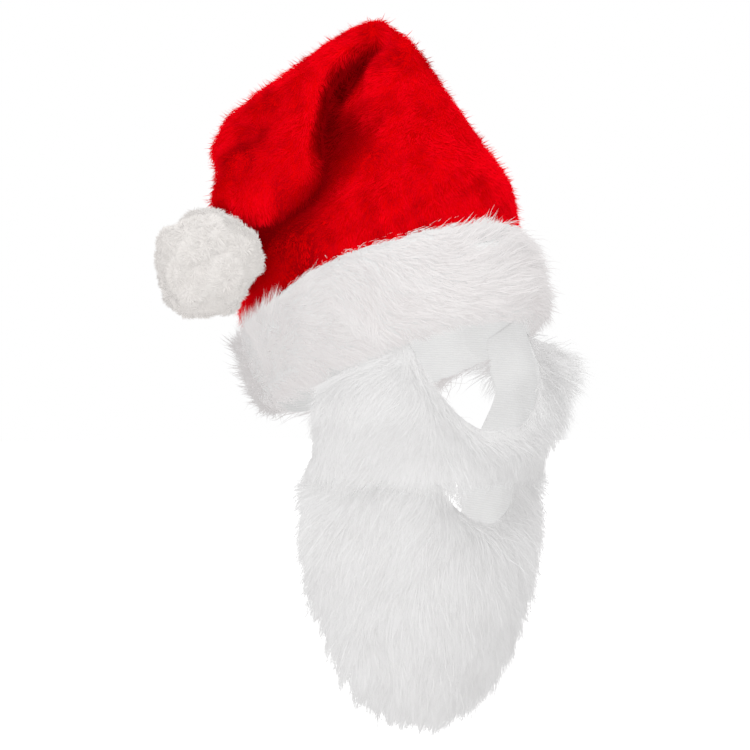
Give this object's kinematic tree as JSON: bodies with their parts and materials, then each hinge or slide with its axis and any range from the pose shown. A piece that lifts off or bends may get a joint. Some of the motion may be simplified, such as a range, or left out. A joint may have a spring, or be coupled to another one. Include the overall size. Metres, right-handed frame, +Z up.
{
  "type": "costume hat with beard",
  "caption": "Soft red plush hat folded over to one side, with a white fur band and pompom and an attached white fur beard that leaves the eyes and mouth open.",
  "frame": {"origin": "middle of the fur band, at the centre of the head opening, where the hat sits on the head", "axes": "+Z up, -Y the way the wearer faces, +X the wearer's left"},
  "size_m": [0.247, 0.2381, 0.4713],
  "materials": {
    "red_plush": "short crushed plush pile",
    "white_fur": "long soft fur pile on a knitted backing",
    "pompom_fur": "short dense fleece pile"
  },
  "bodies": {
    "root": {"crown": "red_plush", "fur_band": "white_fur", "pompom": "pompom_fur", "face_panel": "white_fur", "chin_beard": "white_fur"}
  },
  "joints": []
}
